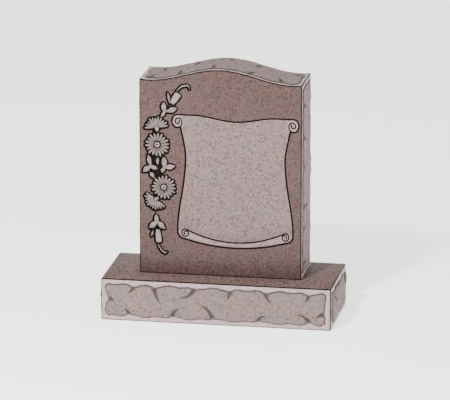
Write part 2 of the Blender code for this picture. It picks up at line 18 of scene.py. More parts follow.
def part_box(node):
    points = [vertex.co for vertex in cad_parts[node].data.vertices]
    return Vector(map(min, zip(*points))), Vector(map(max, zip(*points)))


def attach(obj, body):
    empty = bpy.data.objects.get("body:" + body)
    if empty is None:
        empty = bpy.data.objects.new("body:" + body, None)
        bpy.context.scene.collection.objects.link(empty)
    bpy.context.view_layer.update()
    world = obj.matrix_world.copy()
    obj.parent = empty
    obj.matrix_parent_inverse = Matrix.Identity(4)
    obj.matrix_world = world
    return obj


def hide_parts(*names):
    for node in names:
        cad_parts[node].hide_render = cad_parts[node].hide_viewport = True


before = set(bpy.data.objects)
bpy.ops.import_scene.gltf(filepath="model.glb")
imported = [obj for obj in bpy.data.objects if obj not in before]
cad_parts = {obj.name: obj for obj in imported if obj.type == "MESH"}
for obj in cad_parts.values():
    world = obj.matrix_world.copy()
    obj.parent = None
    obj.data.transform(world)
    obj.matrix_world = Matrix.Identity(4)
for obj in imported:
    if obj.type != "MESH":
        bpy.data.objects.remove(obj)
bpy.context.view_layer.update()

# Sizes of the two stones that their boxes don't give
TABLET_HEIGHT = 0.7874
CROWN_RISE = 0.047
SHOULDER_DIP_FROM_EDGE = 0.037

# The rock-pitched edges
BASE_MARGIN = 0.019
BASE_ROCK_PROJECTION = 0.013
BASE_ROCK_SHOULDER = 0.034
TABLET_MARGIN = 0.017
TABLET_ROCK_PROJECTION = 0.010
TABLET_ROCK_SHOULDER = 0.026
ROCK_CORNER_RADIUS = 0.014
ROCK_WAVER = 0.0025
ROCK_WAVER_LENGTH = 0.083
ROCK_RIPPLE = 0.3 * ROCK_WAVER
ROCK_RIPPLE_LENGTH = 0.27 * ROCK_WAVER_LENGTH
ROCK_LUMP_LENGTH = 0.16
ROCK_LUMP_SHARE = 0.06
LOWEST_ROCK_SHARE = 0.15
POINTS_START_SHARE = 0.15
CREASE_DEPTH_SHARE = 0.45
NOTCH_SPACING = 0.120
NOTCH_INSET = 0.011
NOTCH_SPREAD = 0.015

# Notches that fall by chance: where the first is, the stagger and the jitter, as shares of their
# spacing, and the creases' lean in radians and their length as a share of the short side
NOTCH_START = 0.35
NOTCH_STAGGER = 0.3
NOTCH_JITTER = 0.15
MOST_LEAN = 0.7
CREASE_REACH = (0.2, 0.35)

# The chips that flew off the rock: the length and depth of wide and small scallops, and how far
# each side's seed moves their pattern
SCALLOPS = ((0.040, 0.0052, 3.7), (0.013, 0.0017, 5.3))
ROUGHNESS_LENGTH = 0.004
ROUGHNESS_DEPTH = 0.0005
CHIPS_FADE_IN = 0.010

# How far the painted shade spreads along the rock's outline and in its creases
OUTLINE_SHADE_WIDTH = 0.0042
BASE_CREASE_SHADE_WIDTH = 0.0110
TABLET_CREASE_SHADE_WIDTH = 0.0130

# Notches in the rock of the base's front: where along it and up it, the lean of the crease that
# runs in from there, in radians, and the crease's length as a share of the base's height
FRONT_NOTCH_SHARES = (
    (0.142, 1, -0.90, 0.15), (0.235, 1, 0.41, 0.34), (0.406, 1, -1.10, 0.40), (0.563, 1, -0.44, 0.18),
    (0.719, 1, 0.62, 0.24), (0.904, 1, -0.37, 0.12), (0.122, 0, 0.74, 0.14), (0.309, 0, -0.83, 0.28),
    (0.487, 0, 0.79, 0.41), (0.687, 0, -0.98, 0.21), (0.907, 0, 1.10, 0.31), (0, 0.52, -0.49, 0.13),
    (1, 0.39, 0.57, 0.19),
)

# The scroll panel
PANEL_LEFT_MARGIN = 0.123
PANEL_RIGHT_MARGIN = 0.011
PANEL_TOP_MARGIN = 0.128
PANEL_BOTTOM_MARGIN = 0.110
PANEL_SINK = 0.0015
PANEL_TOP_DIP = 0.019
PANEL_BOTTOM_SAG = 0.028
TOP_CURL_RADIUS = 0.0250
TOP_CURL_NARROWNESS = 0.84
FOOT_CURL_RADIUS = 0.0140
FOOT_CURL_IN_FROM_SIDE = 0.029
FOOT_CURL_UP_FROM_FOOT = 0.051
FOOT_CORNER_RADIUS = 0.027
ROLL_THICKNESS = 0.020
ROLL_UNDERCUT = 0.0030
ROLL_SHADE_REACH = 4 * ROLL_THICKNESS
TOP_DIP_REACH = 0.72

# How a paper curl winds: it stays round, closes in to its core, and tightens with each turn.
# So many turns of a top curl are on the sheet's outline, and so many are in each curl
CURL_ROUND_TURNS = 0.5
CURL_CLOSING_TURNS = 0.65
CURL_CORE = 0.46
CURL_TIGHTENING = 0.06
OUTLINE_CURL_TURNS = 0.6
TOP_CURL_TURNS = 1.8
FOOT_CURL_TURNS = 1.5

# How dark the painted shade over the foot roll is, and how strong the painted highlights on the
# roll and the top curls are
ROLL_SHADE = 0.5
ROLL_HIGHLIGHT = 0.4
CURL_HIGHLIGHT = 0.35

# The sides of the sheet on their way down: how far down, as a share of the panel's height, and
# how far out, as a share of its half-width
PANEL_SIDE_SHARES = ((0.30, 0.786), (0.50, 0.812), (0.68, 0.872), (0.82, 0.908))
PANEL_FOOT_SHARE = 0.910

# The sand-carved lines and the spray's pocket
GROOVE_WIDTH = 0.0064
GROOVE_DEPTH = 0.0045
CURL_GROOVE_WIDTH = 0.0050
CURL_GROOVE_DEPTH = 0.0035
POCKET_DEPTH = 0.0070
POCKET_RIM = 0.0064
VEIN_WIDTH = 0.0024
VEIN_DEPTH = 0.0012
GAP_WALL = 0.0024

# The spray of flowers
SPRAY_AXIS_FROM_EDGE = 0.072
SPRAY_TOP_MARGIN = 0.015
SPRAY_BOTTOM_MARGIN = 0.077
PETALS_PER_DAISY = 18
PETALS_PER_PROFILE_DAISY = 11
BUTTON_SHARE = 0.22
PETAL_FOOT = 0.33
PETAL_FILL = 0.69
PROFILE_FOOT = 0.26
PROFILE_FILL = 0.58
SHORT_PETAL = 0.62
LEAF_FOOT = 0.55
LEAF_TIP = 0.45
LEAF_FULLNESS = 0.72

# How far below the polished face the carved forms lie at their crests and their edges
PETAL_CREST = 0.0008
PETAL_EDGE = 0.0036
LEAF_CREST = 0.0005
LEAF_EDGE = 0.0034
DISC_CREST = 0.0012
DISC_PIT = 0.0050

# Painted shade: how much darker than a leaf a petal is left, as a share of the way to full painted
# shade
PETAL_SHADE = 0.48

# How finely everything is modelled
CREST_SEGMENTS = 120
PIECES_PER_KNOT = 12
EDGE_SEGMENTS = 40
SEGMENTS_PER_TURN = 44
SIDE_POINTS = 7
BLADE_RIBS = (-0.72, -0.38, 0.38, 0.72)
BLUNT_TIP_POINTS = (0.935, 0.975)
DISC_POINTS = 28
SHEET_POINT_SPACING = 0.009
ROCK_POINT_SPACING = 0.003
CLOSEST_POINTS = 0.0002
ARRIS = 0.0040
ARRIS_ANGLE = math.radians(55)
SHARP_ANGLE = math.radians(38)

# The camera and the picture's frame
CAMERA_AZIMUTH = math.radians(10.2)
CAMERA_ELEVATION = math.radians(15.4)
CAMERA_DISTANCE = 20.0
CAMERA_AIM = (0.004, 0.0, 0.4335)
SENSOR_WIDTH = 36
LENS = 431

# The light: the key, how bright the surroundings are, their shares by side, and the floor's glow
KEY_AIM = (0.0, 0.0, 0.4)
KEY_AZIMUTH = math.radians(-15)
KEY_ELEVATION = math.radians(44)
KEY_DISTANCE = 4.5
KEY_SIZE = 0.4
KEY_POWER = 330
HORIZON_TO_ZENITH = (2.2, 0.2)
LEFT_TO_RIGHT = (0.80, 1.45)
FLOOR_GLOW = 1.5
FLOOR_SIZE = 120.0

# Granite tones as light reflects from them, linear
POLISHED_TONE = (0.072, 0.045, 0.041)
# Painted light: the base's top is the face's polished granite, painted lighter for the dim light from above
BASE_TOP_PAINTED_LIGHT_TONE = (0.116, 0.077, 0.071)
FROSTED_TONE = (0.143, 0.098, 0.094)
RELIEF_TONE = (0.205, 0.158, 0.152)
ROCK_TONE = (0.154, 0.112, 0.104)
MARGIN_TONE = (0.320, 0.242, 0.238)
# Painted shade: the arrises are painted near black, for the shade and dark reflection along the edges
ARRIS_PAINTED_SHADE_TONE = (0.012, 0.008, 0.007)
STAIN_TONE = (0.006, 0.0035, 0.003)

# How strongly the smooth surfaces mirror what is round them
SHEEN = {"polished": 0.12, "base_top": 0.015, "shaded_arris": 0.03}

# The lengths of grains and of clouds of tone, and how far grains are from the mean tone
GRAIN = 0.0062
FINE_GRAIN = 0.0026
CLOUD = 0.055
DARKEST_GRAIN = 0.42
PALEST_GRAIN = 0.30

# Painted shade: where a surface starts to darken with its painted light, and the share of its
# light left at full painted shade
PAINTED_SHADING = {"rock": (0.0, 0.22), "margin": (0.0, 0.22), "relief": (0.10, 0.20), "frosted": (0.0, 0.6)}

FULL_TURN = 2 * math.pi
base_low, base_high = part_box("base")
tablet_low, tablet_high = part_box("tablet")
base_length = base_high.x - base_low.x - 2 * BASE_ROCK_PROJECTION
base_depth = base_high.y - base_low.y - 2 * BASE_ROCK_PROJECTION
base_height = base_high.z - base_low.z
tablet_width = tablet_high.x - tablet_low.x - 2 * TABLET_ROCK_PROJECTION
half_width = tablet_width / 2
tablet_thickness = tablet_high.y - tablet_low.y
tablet_foot_z = tablet_low.z
shoulder_height = TABLET_HEIGHT - CROWN_RISE
shoulder_dip_x = half_width - SHOULDER_DIP_FROM_EDGE
panel_width = tablet_width - PANEL_LEFT_MARGIN - PANEL_RIGHT_MARGIN
panel_height = shoulder_height - PANEL_TOP_MARGIN - PANEL_BOTTOM_MARGIN
panel_centre_x = (PANEL_LEFT_MARGIN - PANEL_RIGHT_MARGIN) / 2
spray_height = shoulder_height - SPRAY_TOP_MARGIN - SPRAY_BOTTOM_MARGIN

# The surfaces, in the order of their material slots, and the slot of each
SURFACES = ("polished", "base_top", "frosted", "relief", "stained", "rock", "margin", "underside", "shaded_arris")
slot_of = SURFACES.index


# Curves and distances

def polar(centre, radius, angle):
    """The point at that radius and angle from a centre."""
    return np.array([centre[0] + radius * math.cos(angle), centre[1] + radius * math.sin(angle)])


def unit(value):
    """A value held between 0 and 1."""
    return np.clip(value, 0, 1)


def smooth_curve(knots, pieces):
    """A smooth curve through the knots, with that many pieces between each two."""
    k = np.asarray(knots, float)
    padded = np.vstack([2 * k[0] - k[1], k, 2 * k[-1] - k[-2]])
    found = []
    for i in range(len(k) - 1):
        p0, p1, p2, p3 = padded[i:i + 4]
        for t in np.arange(pieces) / pieces:
            bend = (2 * p0 - 5 * p1 + 4 * p2 - p3) * t**2 + (3 * p1 - p0 - 3 * p2 + p3) * t**3
            found.append((2 * p1 + (p2 - p0) * t + bend) / 2)
    found.append(k[-1])
    return np.array(found)


def distance_to(points, line, closed=False):
    """How far each point is from a line of straight segments."""
    ends = np.roll(line, -1, axis=0) if closed else line[1:]
    starts = line if closed else line[:-1]
    nearest = np.full(len(points), np.inf)
    for a, b in zip(starts, ends):
        run = b - a
        share = unit(((points - a) @ run) / max(run @ run, 1e-12))
        gap = points - a - share[:, None] * run
        nearest = np.minimum(nearest, np.einsum("ij,ij->i", gap, gap))
    return np.sqrt(nearest)


def inside(points, loop):
    """Whether each point is inside a closed loop."""
    x, y = points[:, 0], points[:, 1]
    within = np.zeros(len(points), bool)
    for (ax, ay), (bx, by) in zip(loop, np.roll(loop, -1, axis=0)):
        if ay != by:
            crosses = (ay > y) != (by > y)
            within ^= crosses & (x < (bx - ax) * (y - ay) / (by - ay) + ax)
    return within


def depth_inside(points, loop):
    """How far inside a closed loop each point is, negative outside it."""
    return distance_to(points, loop, closed=True) * np.where(inside(points, loop), 1, -1)


def offset_line(line, distance, closed=False):
    """The line moved sideways, to the right of its own direction."""
    before = np.roll(line, 1, axis=0)
    after = np.roll(line, -1, axis=0)
    if not closed:
        before[0], after[-1] = line[0], line[-1]
    run = after - before
    run /= np.maximum(np.hypot(run[:, 0], run[:, 1]), 1e-12)[:, None]
    return line + distance * np.column_stack([run[:, 1], -run[:, 0]])


def loop_turn(loop):
    """1 for a loop that runs anticlockwise, -1 for clockwise."""
    after = np.roll(loop, -1, axis=0)
    return math.copysign(1, np.sum(loop[:, 0] * after[:, 1] - after[:, 0] * loop[:, 1]))


def grid(width, height, spacing):
    """Loose points on a staggered grid."""
    rows = max(int(height / spacing), 1)
    columns = max(int(width / spacing), 1)
    row, column = np.mgrid[0:rows, 0:columns]
    across = (column + 0.25 + 0.5 * (row % 2)) * width / columns
    return np.column_stack([across.ravel(), ((row + 0.5) * height / rows).ravel()])


# The scroll panel

def spiral(centre, radius, turns, narrowness=1.0):
    """A paper curl seen from its end, clockwise from its top: half a round turn, then it winds in."""
    found = []
    count = round(turns * SEGMENTS_PER_TURN)
    for i in range(count + 1):
        turned = turns * i / count
        closing = min(max((turned - CURL_ROUND_TURNS) / CURL_CLOSING_TURNS, 0), 1)
        opened = (1 + math.cos(math.pi * closing)) / 2
        share = CURL_CORE + (1 - CURL_CORE) * opened - CURL_TIGHTENING * turned
        found.append(polar((0, 0), radius * share, math.pi / 2 - FULL_TURN * turned))
    return np.array(found) * (narrowness, 1) + centre


def panel_lines():
    """The panel's outline as a closed loop, the lines carved inside it, the roll's upper edge and
    the middles of the top curls."""
    top = shoulder_height - PANEL_TOP_MARGIN
    foot = PANEL_BOTTOM_MARGIN
    half = panel_width / 2
    curl_x = half - TOP_CURL_NARROWNESS * TOP_CURL_RADIUS
    curl_z = top - TOP_CURL_RADIUS

    flat_from = TOP_DIP_REACH * curl_x
    edge_x = np.linspace(0, curl_x, EDGE_SEGMENTS + 1)[:-1]
    dip = np.where(edge_x < flat_from, (1 + np.cos(math.pi * edge_x / flat_from)) / 2, 0)
    top_edge = np.column_stack([edge_x, top - PANEL_TOP_DIP * dip])

    curl = spiral((curl_x, curl_z), TOP_CURL_RADIUS, TOP_CURL_TURNS, TOP_CURL_NARROWNESS)
    split = round(OUTLINE_CURL_TURNS * SEGMENTS_PER_TURN)
    outer, inner = curl[:split + 1], curl[split:]

    foot_half = PANEL_FOOT_SHARE * half
    corner = (foot_half - FOOT_CORNER_RADIUS, foot + PANEL_BOTTOM_SAG + FOOT_CORNER_RADIUS)
    side_knots = [(out * half, top - down * panel_height) for down, out in PANEL_SIDE_SHARES]
    side = smooth_curve([outer[-1], *side_knots, (foot_half, corner[1])], PIECES_PER_KNOT)
    arc = [polar(corner, FOOT_CORNER_RADIUS, -math.pi / 2 * share) for share in np.arange(1, 8) / 8]
    foot_x = np.linspace(corner[0], 0, EDGE_SEGMENTS + 1)
    foot_edge = np.column_stack([foot_x, foot + PANEL_BOTTOM_SAG * (foot_x / corner[0]) ** 2])

    right = np.vstack([top_edge, outer, side[1:], arc, foot_edge])
    left = right[1:-1][::-1] * (-1, 1)
    outline = np.vstack([right, left])

    foot_curl = (foot_half - FOOT_CURL_IN_FROM_SIDE, foot + FOOT_CURL_UP_FROM_FOOT)
    roll_x = np.linspace(-foot_curl[0], foot_curl[0], 2 * EDGE_SEGMENTS + 1)
    roll_rise = foot_curl[1] + FOOT_CURL_RADIUS - foot - ROLL_THICKNESS
    roll = np.column_stack([roll_x, foot + ROLL_THICKNESS + roll_rise * (roll_x / foot_curl[0]) ** 2])

    carved = [(roll, CURL_GROOVE_WIDTH, CURL_GROOVE_DEPTH + ROLL_UNDERCUT)]
    curls = []
    for mirror in (1, -1):
        small = spiral(foot_curl, FOOT_CURL_RADIUS, FOOT_CURL_TURNS) * (mirror, 1)
        carved.append((small, CURL_GROOVE_WIDTH, CURL_GROOVE_DEPTH))
        carved.append((inner * (mirror, 1), CURL_GROOVE_WIDTH, CURL_GROOVE_DEPTH))
        curls.append(np.array([mirror * curl_x + panel_centre_x, curl_z]))
    shift = np.array([panel_centre_x, 0])
    return outline + shift, [(line + shift, w, d) for line, w, d in carved], roll + shift, curls


def panel_level(points, outline, roll):
    """The sheet's own level before its lines are carved: sunk, lower still above the foot roll,
    and rounded over the roll. And its painted light: a painted highlight over the roll's round,
    and painted shade on the sheet above it."""
    depth = depth_inside(points, outline)
    above_roll = points[:, 1] - np.interp(points[:, 0], roll[:, 0], roll[:, 1])
    from_end = roll[:, 0].max() - panel_centre_x - np.abs(points[:, 0] - panel_centre_x)
    shade = unit(1 - above_roll / ROLL_SHADE_REACH) ** 2
    sheet = ROLL_UNDERCUT * shade * unit(from_end / FOOT_CURL_RADIUS)
    belly = unit(np.minimum(depth, -above_roll) / (0.5 * ROLL_THICKNESS))
    rounded = ROLL_UNDERCUT * (1 - np.sqrt(belly * (2 - belly)))
    sunk = PANEL_SINK + np.where(above_roll < 0, rounded, sheet)
    # Painted highlight over the roll's round, painted shade on the sheet above it
    painted_light = np.where(above_roll < 0, -ROLL_HIGHLIGHT * belly, ROLL_SHADE * shade**2)
    return np.where(depth > 0, -sunk, 0), np.where(depth > 0, painted_light, 0), depth


# The spray of flowers

def blade(base, tip, width, crest=LEAF_CREST, edge=LEAF_EDGE, blunt=None, stalk=0.0, **more):
    """One petal, leaf lobe or bud, from its base to its tip. It has an outline and a ridge. A blunt
    one narrows from that share of its length on. More facts are kept with it."""
    base, tip = np.array(base, float), np.array(tip, float)
    along = tip - base
    across = np.array([-along[1], along[0]]) / math.hypot(*along)
    inner = np.arange(1, SIDE_POINTS + 1) / (SIDE_POINTS + 1)
    if blunt:
        inner = np.append(inner, BLUNT_TIP_POINTS)
        swell = stalk + (1 - stalk) * np.sin(math.pi / 2 * unit(inner / blunt))
        swell *= np.sqrt(1 - unit((inner - blunt) / (1.02 - blunt)) ** 2)
    else:
        swell = np.minimum(inner / LEAF_FOOT, (1 - inner) / LEAF_TIP) ** LEAF_FULLNESS
    spine = base + inner[:, None] * along
    side = (swell * width / 2)[:, None] * across
    foot = [base]
    if stalk:
        foot = [base - across * stalk * width / 2, base + across * stalk * width / 2]
    outline = np.vstack([foot, spine + side, [tip], (spine - side)[::-1]])
    ridge = np.linspace(base + 0.12 * along, base + 0.88 * along, SIDE_POINTS)
    ribs = np.vstack([spine + share * side for share in BLADE_RIBS])
    return {"outline": outline, "ridge": ridge, "ribs": ribs, "crest": crest, "edge": edge,
            "half": width / 2, **more}


def circle():
    """Points evenly round a circle of radius 1."""
    turns = np.arange(DISC_POINTS) * FULL_TURN / DISC_POINTS
    return np.column_stack([np.cos(turns), np.sin(turns)])


def disc(centre, radius):
    """A daisy's button, with a pit in its middle."""
    around = circle()
    ribs = np.vstack([centre + share * radius * around for share in (0.85, 0.52, 0.26, 0.0)])
    return {"outline": centre + radius * around, "ridge": centre + 0.7 * radius * around, "ribs": ribs,
            "crest": DISC_CREST, "edge": PETAL_EDGE, "half": 0.30 * radius, "pit": centre,
            "pit_radius": 0.52 * radius}


def daisy(centre, radius, turn):
    """A daisy seen from the front: a button and a ring of petals."""
    found = [disc(centre, BUTTON_SHARE * radius)]
    width = PETAL_FILL * FULL_TURN * 0.80 * radius / PETALS_PER_DAISY
    for i in range(PETALS_PER_DAISY):
        angle = turn + FULL_TURN * i / PETALS_PER_DAISY
        reach = radius * (1 + 0.06 * math.sin(2.4 * i))
        foot = polar(centre, PETAL_FOOT * radius, angle)
        found.append(blade(foot, polar(centre, reach, angle), width, PETAL_CREST, PETAL_EDGE,
                           blunt=0.58, stalk=0.35, heart=centre, reach=radius))
    return found


def profile_daisy(cup, reach_across, reach_ahead, facing, spread):
    """A daisy seen from the side: petals fan out from its cup, longer across than ahead."""
    found = []
    for count, length, edge in ((PETALS_PER_PROFILE_DAISY, 1.0, PETAL_EDGE),
                                (PETALS_PER_PROFILE_DAISY - 3, SHORT_PETAL, PETAL_EDGE / 2)):
        for i in range(count):
            swing = spread * ((i + 0.5) / count - 0.5)
            reach = length * math.hypot(reach_across * math.sin(swing), reach_ahead * math.cos(swing))
            reach *= 1 + 0.07 * math.sin(2.1 * i)
            angle = facing + swing
            width = PROFILE_FILL * reach * spread / count
            foot = polar(cup, PROFILE_FOOT * reach, angle)
            found.append(blade(foot, polar(cup, reach, angle), width, PETAL_CREST * length, edge,
                               blunt=0.56, stalk=0.4, heart=cup, reach=reach))
    heel = polar(cup, 0.42 * reach_ahead, facing + math.pi)
    brow = polar(cup, 0.20 * reach_ahead, facing)
    found.append(blade(brow, heel, 0.42 * reach_ahead))
    return found


def tendril(knots, width):
    """A thin curling shoot along a curve."""
    spine = smooth_curve(knots, 10)
    taper = np.sin(math.pi * np.linspace(0.12, 0.92, len(spine)))[:, None] * width / 2
    side = taper * (offset_line(spine, 1.0) - spine)
    return {"outline": np.vstack([spine - side, (spine + side)[::-1]]), "ridge": spine[1:-1],
            "ribs": spine[1:-1], "crest": LEAF_CREST, "edge": LEAF_EDGE, "half": width / 2}


def spray():
    """Every raised form of the spray, and the gaps that are cut to the pocket's floor. Places and
    sizes are shares of the spray's own height, across from its axis and up from its foot."""
    raised = daisy((-0.007, 0.642), 0.0700, 0.10)
    raised += daisy((0.030, 0.392), 0.0700, 0.28)
    raised += profile_daisy((-0.010, 0.744), 0.067, 0.062, math.radians(98), math.radians(190))
    raised += profile_daisy((-0.016, 0.320), 0.067, 0.060, math.radians(234), math.radians(186))
    lobes = [
        ((0.034, 0.830), (0.029, 0.896), 0.032), ((0.044, 0.838), (0.109, 0.861), 0.034),
        ((0.046, 0.850), (0.014, 0.804), 0.022), ((-0.044, 0.512), (-0.060, 0.580), 0.030),
        ((-0.040, 0.520), (-0.093, 0.478), 0.034), ((-0.056, 0.520), (-0.002, 0.495), 0.028),
        ((-0.004, 0.522), (-0.004, 0.568), 0.022), ((0.036, 0.502), (0.031, 0.574), 0.036),
        ((0.030, 0.508), (0.098, 0.520), 0.033), ((0.042, 0.520), (0.012, 0.473), 0.026),
        ((-0.024, 0.444), (-0.050, 0.480), 0.026), ((-0.011, 0.172), (-0.014, 0.232), 0.030),
        ((-0.008, 0.194), (-0.054, 0.145), 0.034), ((-0.014, 0.194), (0.039, 0.145), 0.034),
        ((0.066, 0.886), (0.054, 0.956), 0.014), ((-0.032, 0.136), (-0.044, 0.094), 0.013),
    ]
    raised += [blade(base, tip, width, vein=True) for base, tip, width in lobes]
    buds = [((0.078, 0.888), (0.118, 0.949), 0.041), ((-0.005, 0.140), (0.002, 0.062), 0.036)]
    raised += [blade(base, tip, width, blunt=0.80, stalk=0.6) for base, tip, width in buds]
    raised.append(tendril([(0.106, 0.962), (0.136, 0.990), (0.172, 0.996), (0.181, 0.974)], 0.010))
    raised.append(tendril([(-0.004, 0.052), (0.014, 0.022), (0.036, 0.004), (0.050, 0.014)], 0.010))
    hollows = [
        ((-0.007, 0.642), 0.0050, 0.0050), ((0.030, 0.392), 0.0050, 0.0050),
        ((-0.024, 0.718), 0.012, 0.011), ((-0.028, 0.550), 0.015, 0.024),
        ((0.010, 0.530), 0.010, 0.028), ((0.056, 0.866), 0.008, 0.013),
        ((-0.004, 0.476), 0.024, 0.022), ((-0.014, 0.341), 0.013, 0.011),
    ]
    gaps = [circle() * (across, up) + centre for centre, across, up in hollows]
    place = np.array([SPRAY_AXIS_FROM_EDGE - half_width, SPRAY_BOTTOM_MARGIN])
    for form in raised:
        for part in ("outline", "ridge", "ribs", "pit", "heart"):
            if part in form:
                form[part] = place + spray_height * np.asarray(form[part])
        for size in ("half", "pit_radius", "reach"):
            form[size] = form.get(size, 0) * spray_height
    return raised, [place + spray_height * gap for gap in gaps]


def near_form(points, form):
    """Which of the points are close enough to a form to matter to it."""
    low = form["outline"].min(axis=0) - 2 * POCKET_RIM
    high = form["outline"].max(axis=0) + 2 * POCKET_RIM
    return np.flatnonzero(np.all((points > low) & (points < high), axis=1))


def spray_level(points, raised, gaps):
    """The carved spray: forms that rise from a pocket, and the pocket's sloping wall. Gives the
    level, the painted shade on the forms, how far inside the stained pocket each point is, and
    how far inside the nearest form."""
    wall = POCKET_RIM / 2
    nearest = np.full(len(points), -np.inf)
    forms = nearest.copy()
    painted_light = np.zeros(len(points))
    for form in raised:
        near = near_form(points, form)
        if not len(near):
            continue
        spots = points[near]
        depth = depth_inside(spots, form["outline"])
        nearest[near] = np.maximum(nearest[near], depth)
        swell = unit(depth / form["half"])
        share = np.sqrt(swell * (2 - swell))
        top = -form["edge"] + (form["edge"] - form["crest"]) * share
        # Painted shade towards each form's edges, lightest on its crest
        shade = 1 - share
        if "pit" in form:
            # Painted shade in the button's pit
            pit = unit(np.hypot(*(spots - form["pit"]).T) / form["pit_radius"])
            top = -DISC_PIT + (top + DISC_PIT) * pit
            shade = np.maximum(shade, 1 - pit)
        if form.get("vein"):
            # Painted shade in the vein's groove
            cut = unit(1 - distance_to(spots, form["ridge"]) / (VEIN_WIDTH / 2))
            top -= VEIN_DEPTH * cut
            shade = np.maximum(shade, cut)
        if "heart" in form:
            # Painted shade towards the daisy's heart, and petals kept darker than leaves
            out = np.hypot(*(spots - form["heart"]).T) / form["reach"]
            shade = np.maximum(np.maximum(shade, PETAL_SHADE), 1 - unit((out - 0.35) / 0.35))
        skirt = -form["edge"] + (POCKET_DEPTH - form["edge"]) * depth / wall
        surface = np.where(depth >= 0, top, skirt)
        higher = surface > forms[near]
        forms[near] = np.where(higher, surface, forms[near])
        painted_light[near] = np.where(higher & (depth >= 0), shade, painted_light[near])
    pocket = nearest + POCKET_RIM
    for gap in gaps:
        within = depth_inside(points, gap)
        pocket = np.maximum(pocket, within)
        sunk = -POCKET_DEPTH * unit(within / GAP_WALL)
        forms = np.where(within > 0, np.minimum(forms, sunk), forms)
        nearest = np.where(within > 0, np.minimum(nearest, -within), nearest)
    ground = -POCKET_DEPTH * unit(pocket / wall)
    return np.maximum(ground, forms) * (pocket > 0), painted_light, pocket, nearest


def spray_lines(raised, gaps):
    """The edges that the spray's facets follow: outlines, ridges, the pocket's floor and its rim."""
    def exposed(line, moved_by):
        keep = np.full(len(line), True)
        for form in raised:
            near = near_form(line, form)
            if len(near):
                keep[near] &= -depth_inside(line[near], form["outline"]) > moved_by - CLOSEST_POINTS
        return keep

    lines = []
    for form in raised:
        lines.append((form["ridge"], False, None))
        if form.get("vein"):
            for moved in (-VEIN_WIDTH / 2, VEIN_WIDTH / 2):
                lines.append((offset_line(form["ridge"], moved), False, None))
        turn = loop_turn(form["outline"])
        for moved in (0, POCKET_RIM / 2, POCKET_RIM):
            edge = offset_line(form["outline"], turn * moved, closed=True)
            lines.append((edge, True, exposed(edge, moved)))
    for gap in gaps:
        lines.append((gap, True, None))
        lines.append((gap.mean(axis=0) + 0.7 * (gap - gap.mean(axis=0)), True, None))
    return lines


# The pitched rock

def rounded_frame(width, height, margin):
    """Points and outward normals round a rounded rectangle, anticlockwise from low on the right."""
    inset = margin + ROCK_CORNER_RADIUS
    right, top = width - inset, height - inset
    centres = [(right, inset), (right, top), (inset, top), (inset, inset)]
    corner_shares = np.linspace(0, 1, 8)
    points, normals = [], []
    for i, centre in enumerate(centres):
        start = (i - 1) * math.pi / 2
        for share in corner_shares:
            normals.append(polar((0, 0), 1, start + share * math.pi / 2))
            points.append(centre + ROCK_CORNER_RADIUS * normals[-1])
        first = points[-1]
        run = polar(centres[(i + 1) % 4], ROCK_CORNER_RADIUS, start + math.pi / 2) - first
        count = max(int(math.hypot(*run) / ROCK_POINT_SPACING), 1)
        for k in range(1, count):
            points.append(first + run * k / count)
            normals.append(normals[-1])
    return np.array(points), np.array(normals)


def chipped(points, seed):
    """How deep the chips are at each point: wide scallops, small ones and fine roughness, with
    sharp ridges where scallops meet."""
    found = []
    for u, v in points:
        place, chips = Vector((u, v, 0)), 0
        for length, depth, moved in SCALLOPS:
            away = noise.voronoi(place / length + Vector((0, 0, moved * seed)))[0][0]
            chips += depth * (1 - min(away, 1) ** 2)
        fine = noise.fractal(place / ROUGHNESS_LENGTH + Vector((0, 0, seed)), 0.8, 2.1, 3)
        found.append(chips + ROUGHNESS_DEPTH * fine)
    return np.array(found)


